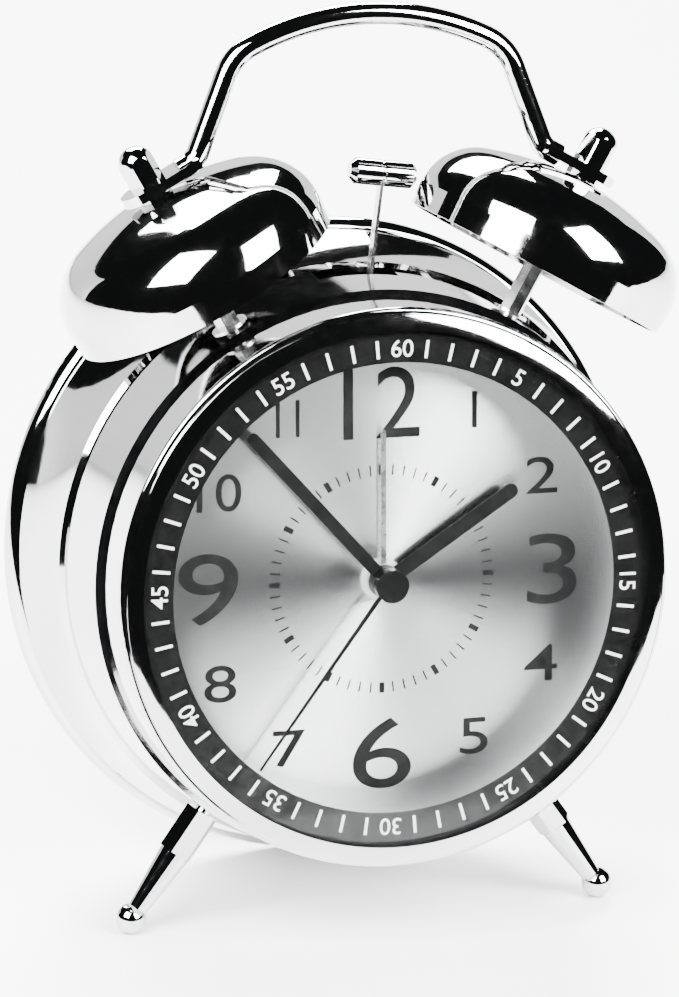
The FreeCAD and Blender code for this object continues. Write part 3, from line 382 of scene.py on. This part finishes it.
def add_dial_disc():
    back = DIAL_FRONT + DIAL_THICKNESS
    profile = [(DIAL_HOLE, DIAL_FRONT), (DIAL_RADIUS, DIAL_FRONT), (DIAL_RADIUS, back), (DIAL_HOLE, back)]
    mesh = turned("dial_disc", profile, DIAL_STEPS)
    disc = add_piece("dial_disc", mesh, "dial", "clock")
    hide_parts("dial_plate")


def bar_mesh(name, groups, radius, front):
    """Thin radial bars on a circle, one for each angle of each (angles, width, length) group."""
    form = bmesh.new()
    for angles, width, length in groups:
        shape = Matrix.Diagonal((width * MM, PRINT * MM, length * MM, 1))
        for angle in angles:
            bmesh.ops.create_cube(form, size=1.0, matrix=radial_place(angle, radius, front) @ shape)
    return mesh_of(name, form)


def add_minute_marks():
    angles = [6 * minute + RING_TURN for minute in range(60) if minute % 5]
    mesh = bar_mesh("minute_marks", [(angles, MARK_WIDTH, MARK_LENGTH)], RING_RADIUS, RING_FRONT)
    add_piece("minute_marks", mesh, "print_white", "clock")


def add_alarm_marks():
    """The small circle that the alarm hand points to, with a bold mark at each hour."""
    fine = [6 * step for step in range(60) if step % 5]
    bold = [30 * hour for hour in range(12)]
    groups = [(fine, ALARM_FINE, ALARM_MARK), (bold, ALARM_BOLD, ALARM_MARK)]
    mesh = bar_mesh("alarm_marks", groups, ALARM_RADIUS, DIAL_FRONT)
    add_piece("alarm_marks", mesh, "print_black", "clock")


def middle_of(mesh):
    """The centre of a mesh's box."""
    middle = Vector()
    for axis in range(3):
        spread = [vertex.co[axis] for vertex in mesh.vertices]
        middle[axis] = (min(spread) + max(spread)) / 2
    return middle


def letters(name, text, height, breadth, place):
    """Figures of a given height as a thin mesh centred on a place, drawn out sideways by `breadth`."""
    curve = bpy.data.curves.new(name, "FONT")
    curve.body = text
    curve.size = height * MM / FIGURE_SHARE
    curve.offset = STROKE_GROWTH * MM
    curve.extrude = PRINT * MM / 2
    curve.resolution_u = FIGURE_STEPS
    written = linked(name, curve)
    bpy.context.view_layer.update()
    mesh = bpy.data.meshes.new_from_object(written.evaluated_get(bpy.context.evaluated_depsgraph_get()))
    bpy.data.objects.remove(written)
    upright = Matrix.Rotation(math.radians(90), 4, "X") @ Matrix.Diagonal((breadth, 1, 1, 1))
    mesh.transform(place @ upright @ Matrix.Translation(-middle_of(mesh)))
    return mesh


def joined(name, meshes):
    """One mesh made of several."""
    form = bmesh.new()
    for mesh in meshes:
        form.from_mesh(mesh)
    return mesh_of(name, form)


def add_ring_figures():
    """The minutes in fives, turned with the ring and with their tops outward."""
    minutes = []
    for minute in range(5, 65, 5):
        place = radial_place(6 * minute + RING_TURN, RING_RADIUS, RING_FRONT)
        minutes.append(letters("minute_%d" % minute, str(minute), MINUTE_HEIGHT, 1.0, place))
    add_piece("ring_figures", joined("ring_figures", minutes), "print_white", "clock")


def add_hour_figures():
    """The hours stand upright; 3, 6, 9 and 12 are large."""
    hours = []
    for hour in range(1, 13):
        large = hour % 3 == 0
        height = QUARTER_HEIGHT if large else HOUR_HEIGHT
        radius = QUARTER_RADIUS if large else HOUR_RADIUS
        place = Matrix.Translation(dial_point(30 * hour, radius, DIAL_FRONT - PRINT / 2))
        breadth = FIGURE_BREADTH.get(hour, USUAL_BREADTH)
        hours.append(letters("hour_%d" % hour, str(hour), height, breadth, place))
    add_piece("hour_figures", joined("hour_figures", hours), "print_black", "clock")


# ---------------------------------------------------------------- studio

def direction(azimuth, elevation):
    """A unit vector away from the clock: azimuth 0 is in front, positive to the viewer's right."""
    side = math.radians(azimuth)
    rise = math.radians(elevation)
    return Vector((math.sin(side) * math.cos(rise), -math.cos(side) * math.cos(rise), math.sin(rise)))


def softbox(name, azimuth, elevation, width, height, radiance):
    """A rectangular lamp that faces the clock, sized in metres."""
    lamp = bpy.data.lights.new(name, "AREA")
    lamp.shape = "RECTANGLE"
    lamp.size = width
    lamp.size_y = height
    lamp.energy = radiance * math.pi * width * height
    holder = linked(name, lamp)
    away = direction(azimuth, elevation)
    holder.location = LAMP_AIM + away * LAMP_DISTANCE
    holder.rotation_mode = "QUATERNION"
    holder.rotation_quaternion = away.to_track_quat("Z", "Y")


def add_backdrop(material):
    """A pale curved wall round the back half of the floor."""
    form = bmesh.new()
    feet = []
    for step in range(WALL_STEPS + 1):
        angle = math.pi * step / WALL_STEPS
        along = FLOOR_RADIUS * math.cos(angle)
        behind = FLOOR_BACK + FLOOR_RADIUS * math.sin(angle)
        feet.append(form.verts.new((along, behind, 0)))
    tops = [form.verts.new(foot.co + Vector((0, 0, WALL_HEIGHT))) for foot in feet]
    for index in range(WALL_STEPS):
        form.faces.new((feet[index], feet[index + 1], tops[index + 1], tops[index]))
    mesh = mesh_of("backdrop", form)
    mesh.shade_smooth()
    mesh.materials.append(material)
    return linked("backdrop", mesh)


def add_floor():
    """A round floor that reaches further behind the clock than in front of it, and its wall."""
    form = bmesh.new()
    bmesh.ops.create_circle(form, cap_ends=True, radius=FLOOR_RADIUS, segments=FLOOR_STEPS,
                            matrix=Matrix.Translation((0, FLOOR_BACK, 0)))
    mesh = mesh_of("floor", form)
    floor = linked("floor", mesh)
    finish = Finish("floor_white", 0.4)
    finish.colour(grey(0.86), grey(0.88), finish.noise(0.01))
    mesh.materials.append(finish.material)
    add_backdrop(finish.material)


def add_light():
    """Two softboxes in front, one behind, and a trace of light from all round."""
    softbox("box_left", azimuth=-52, elevation=40, width=0.9, height=0.9, radiance=45)
    softbox("box_right", azimuth=42, elevation=32, width=0.8, height=0.9, radiance=45)
    softbox("box_back", azimuth=178, elevation=42, width=1.0, height=0.7, radiance=60)
    world = bpy.data.worlds.new("studio")
    world.use_nodes = True
    background = world.node_tree.nodes["Background"]
    background.inputs["Color"].default_value = WORLD_TINT
    background.inputs["Strength"].default_value = WORLD_STRENGTH
    bpy.context.scene.world = world


def add_camera():
    """Stands left of and above the dial's normal, about a metre away."""
    away = direction(CAMERA_AZIMUTH, CAMERA_ELEVATION)
    lens = bpy.data.cameras.new("camera")
    lens.lens = FOCAL_LENGTH
    lens.sensor_width = SENSOR_WIDTH
    holder = linked("camera", lens)
    place = DIAL @ ((CAMERA_AIM + away * CAMERA_DISTANCE) * MM)
    turn = DIAL.to_3x3()
    looking = -(turn @ away)
    right = looking.cross(turn @ Vector((0, 0, 1))).normalized()
    up = right.cross(looking)
    roll = Matrix.Rotation(math.radians(CAMERA_ROLL), 3, looking)
    facing = roll @ Matrix((right, up, -looking)).transposed()
    holder.matrix_world = Matrix.Translation(place) @ facing.to_4x4()
    bpy.context.scene.camera = holder


paint_nodes()
add_dial_disc()
add_minute_marks()
add_alarm_marks()
add_ring_figures()
add_hour_figures()
add_floor()
add_light()
add_camera()
